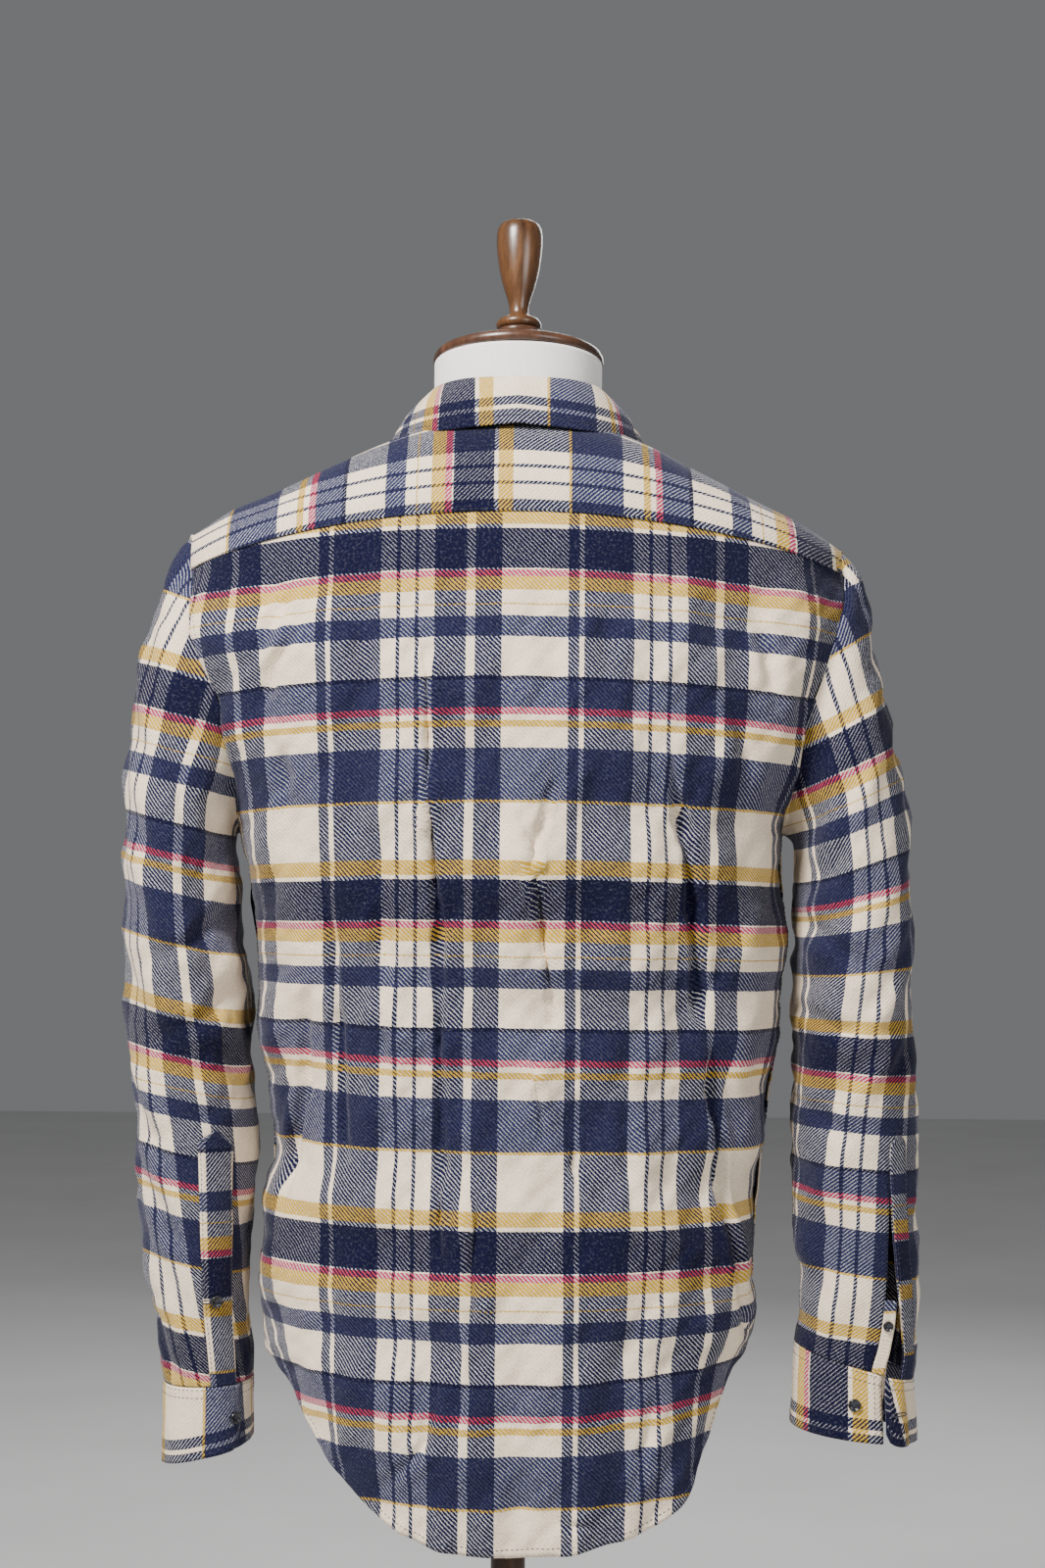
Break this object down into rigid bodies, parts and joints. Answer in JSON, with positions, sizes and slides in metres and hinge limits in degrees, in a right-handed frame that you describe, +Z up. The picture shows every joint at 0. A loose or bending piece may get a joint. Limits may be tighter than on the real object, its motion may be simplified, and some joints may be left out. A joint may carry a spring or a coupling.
{
  "type": "flannel shirt on dress form",
  "caption": "Long-sleeved plaid flannel shirt with collar, yoke, button front and curved tails, worn by a limbless dress form on a pole and round base.",
  "frame": {"origin": "centre of the stand's base on its underside", "axes": "+Z up; the wearer's back faces -Y and the wearer's left side is -X"},
  "size_m": [0.5863, 0.38, 1.4473],
  "materials": {
    "flannel": "brushed plaid twill, straight grain",
    "flannel_cross": "brushed plaid twill, cut across the grain",
    "button": "polished black",
    "form_cover": "white knit cover",
    "dark_wood": "dark stained and varnished",
    "honey_wood": "brown stained and varnished"
  },
  "bodies": {
    "root": {"back": "flannel", "front_left": "flannel", "front_right": "flannel", "yoke": "flannel_cross", "front_placket": "flannel", "front_button_1": "button", "front_button_2": "button", "front_button_3": "button", "front_button_4": "button", "front_button_5": "button", "front_button_6": "button", "collar_stand": "flannel_cross", "collar_leaf": "flannel_cross", "sleeve_left": "flannel", "sleeve_right": "flannel", "sleeve_placket_left": "flannel", "sleeve_placket_right": "flannel", "sleeve_underlap_right": "flannel", "cuff_left": "flannel_cross", "cuff_right": "flannel_cross", "sleeve_button_left": "button", "sleeve_button_right": "button", "cuff_button_left": "button", "cuff_button_right": "button", "collar_button": "button", "form_torso": "form_cover", "neck_cap": "dark_wood", "finial": "honey_wood", "pole": "dark_wood", "base": "dark_wood"}
  },
  "joints": []
}
